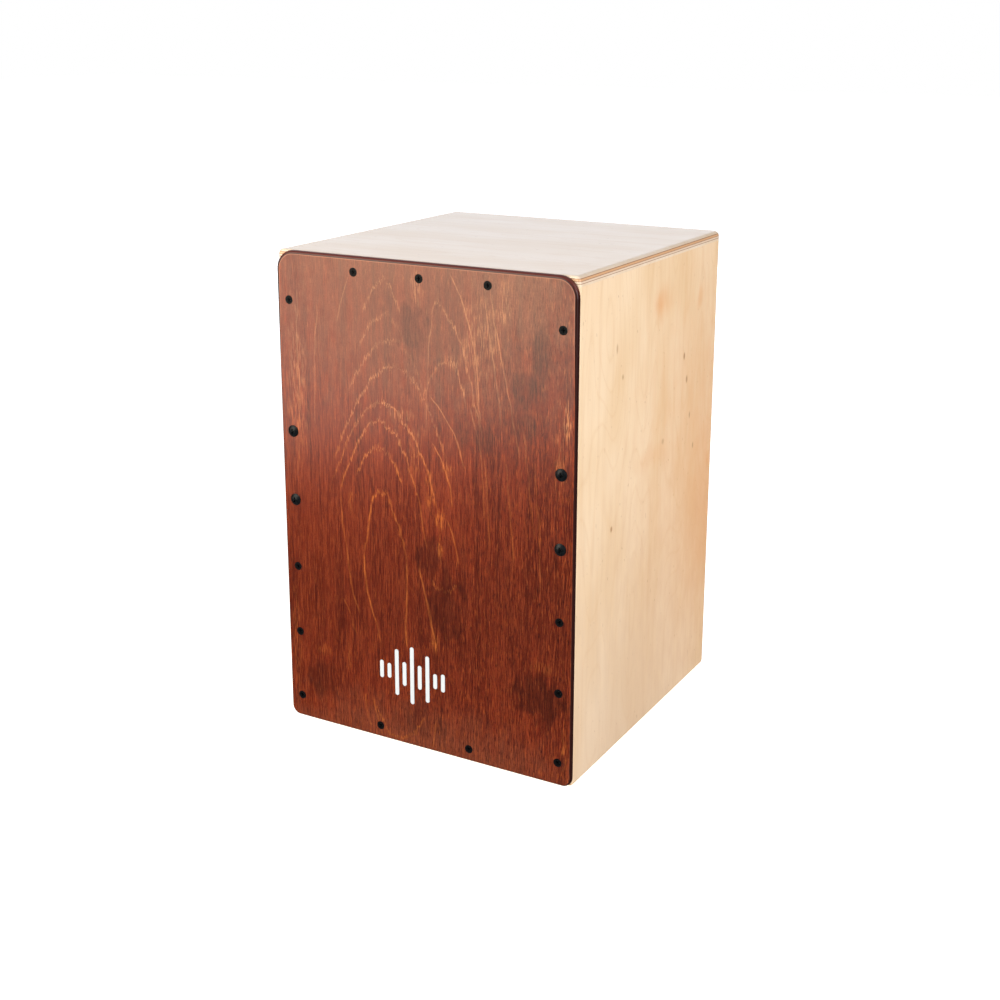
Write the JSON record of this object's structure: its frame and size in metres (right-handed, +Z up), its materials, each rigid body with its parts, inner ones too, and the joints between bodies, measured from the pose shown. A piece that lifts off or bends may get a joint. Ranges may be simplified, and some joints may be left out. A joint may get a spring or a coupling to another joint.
{
  "type": "cajon",
  "caption": "Wooden box drum with a thin stained plywood playing plate screwed to its front, a round sound port in its back and a hinged snare bar inside.",
  "frame": {"origin": "on the ground, under the middle of the drum's bounding box", "axes": "+Z up, -Y the way the playing plate faces, +X to the right of someone looking at the playing plate"},
  "size_m": [0.3, 0.3113, 0.46],
  "materials": {
    "plate_ply": "red-brown stained birch plywood, satin lacquer",
    "body_ply": "natural birch plywood, satin lacquer",
    "back_ply": "natural birch plywood, satin lacquer",
    "batten_wood": "raw planed softwood",
    "block_wood": "raw planed beech",
    "black_steel": "black oxide steel",
    "plain_steel": "zinc-plated steel",
    "snare_steel": "bright coiled steel wire",
    "foot_rubber": "moulded black rubber",
    "felt": "pressed grey felt",
    "mark_ink": "screen-printed white ink"
  },
  "bodies": {
    "cabinet": {"playing_plate": "plate_ply", "top_panel": "body_ply", "bottom_panel": "body_ply", "left_side_panel": "body_ply", "right_side_panel": "body_ply", "back_panel": "back_ply", "front_batten_left": "batten_wood", "front_batten_right": "batten_wood", "front_batten_top": "batten_wood", "front_batten_bottom": "batten_wood", "rear_batten_left": "batten_wood", "rear_batten_right": "batten_wood", "rear_batten_top": "batten_wood", "rear_batten_bottom": "batten_wood", "glue_strips": "batten_wood", "snare_block_left": "block_wood", "snare_block_right": "block_wood", "plate_screws": "black_steel", "plate_screws_large": "black_steel", "back_screws": "black_steel", "foot_screws": "plain_steel", "foot_washers": "plain_steel", "foot_front_left": "foot_rubber", "foot_front_right": "foot_rubber", "foot_rear_left": "foot_rubber", "foot_rear_right": "foot_rubber", "printed_mark": "mark_ink"},
    "snare_unit": {"snare_bar": "block_wood", "snare_felt_washers": "felt", "snare_clip_screws": "plain_steel", "snare_clip_left": "plain_steel", "snare_clip_right": "plain_steel", "snare_wires_left": "snare_steel", "snare_wires_right": "snare_steel"}
  },
  "joints": [
    {"name": "snare_bar_turn", "type": "hinge", "parent": "cabinet", "child": "snare_unit", "pos_m": [0, -0.1113, 0.26125], "axis": [-1, 0, 0], "range_deg": [0, 40]}
  ]
}
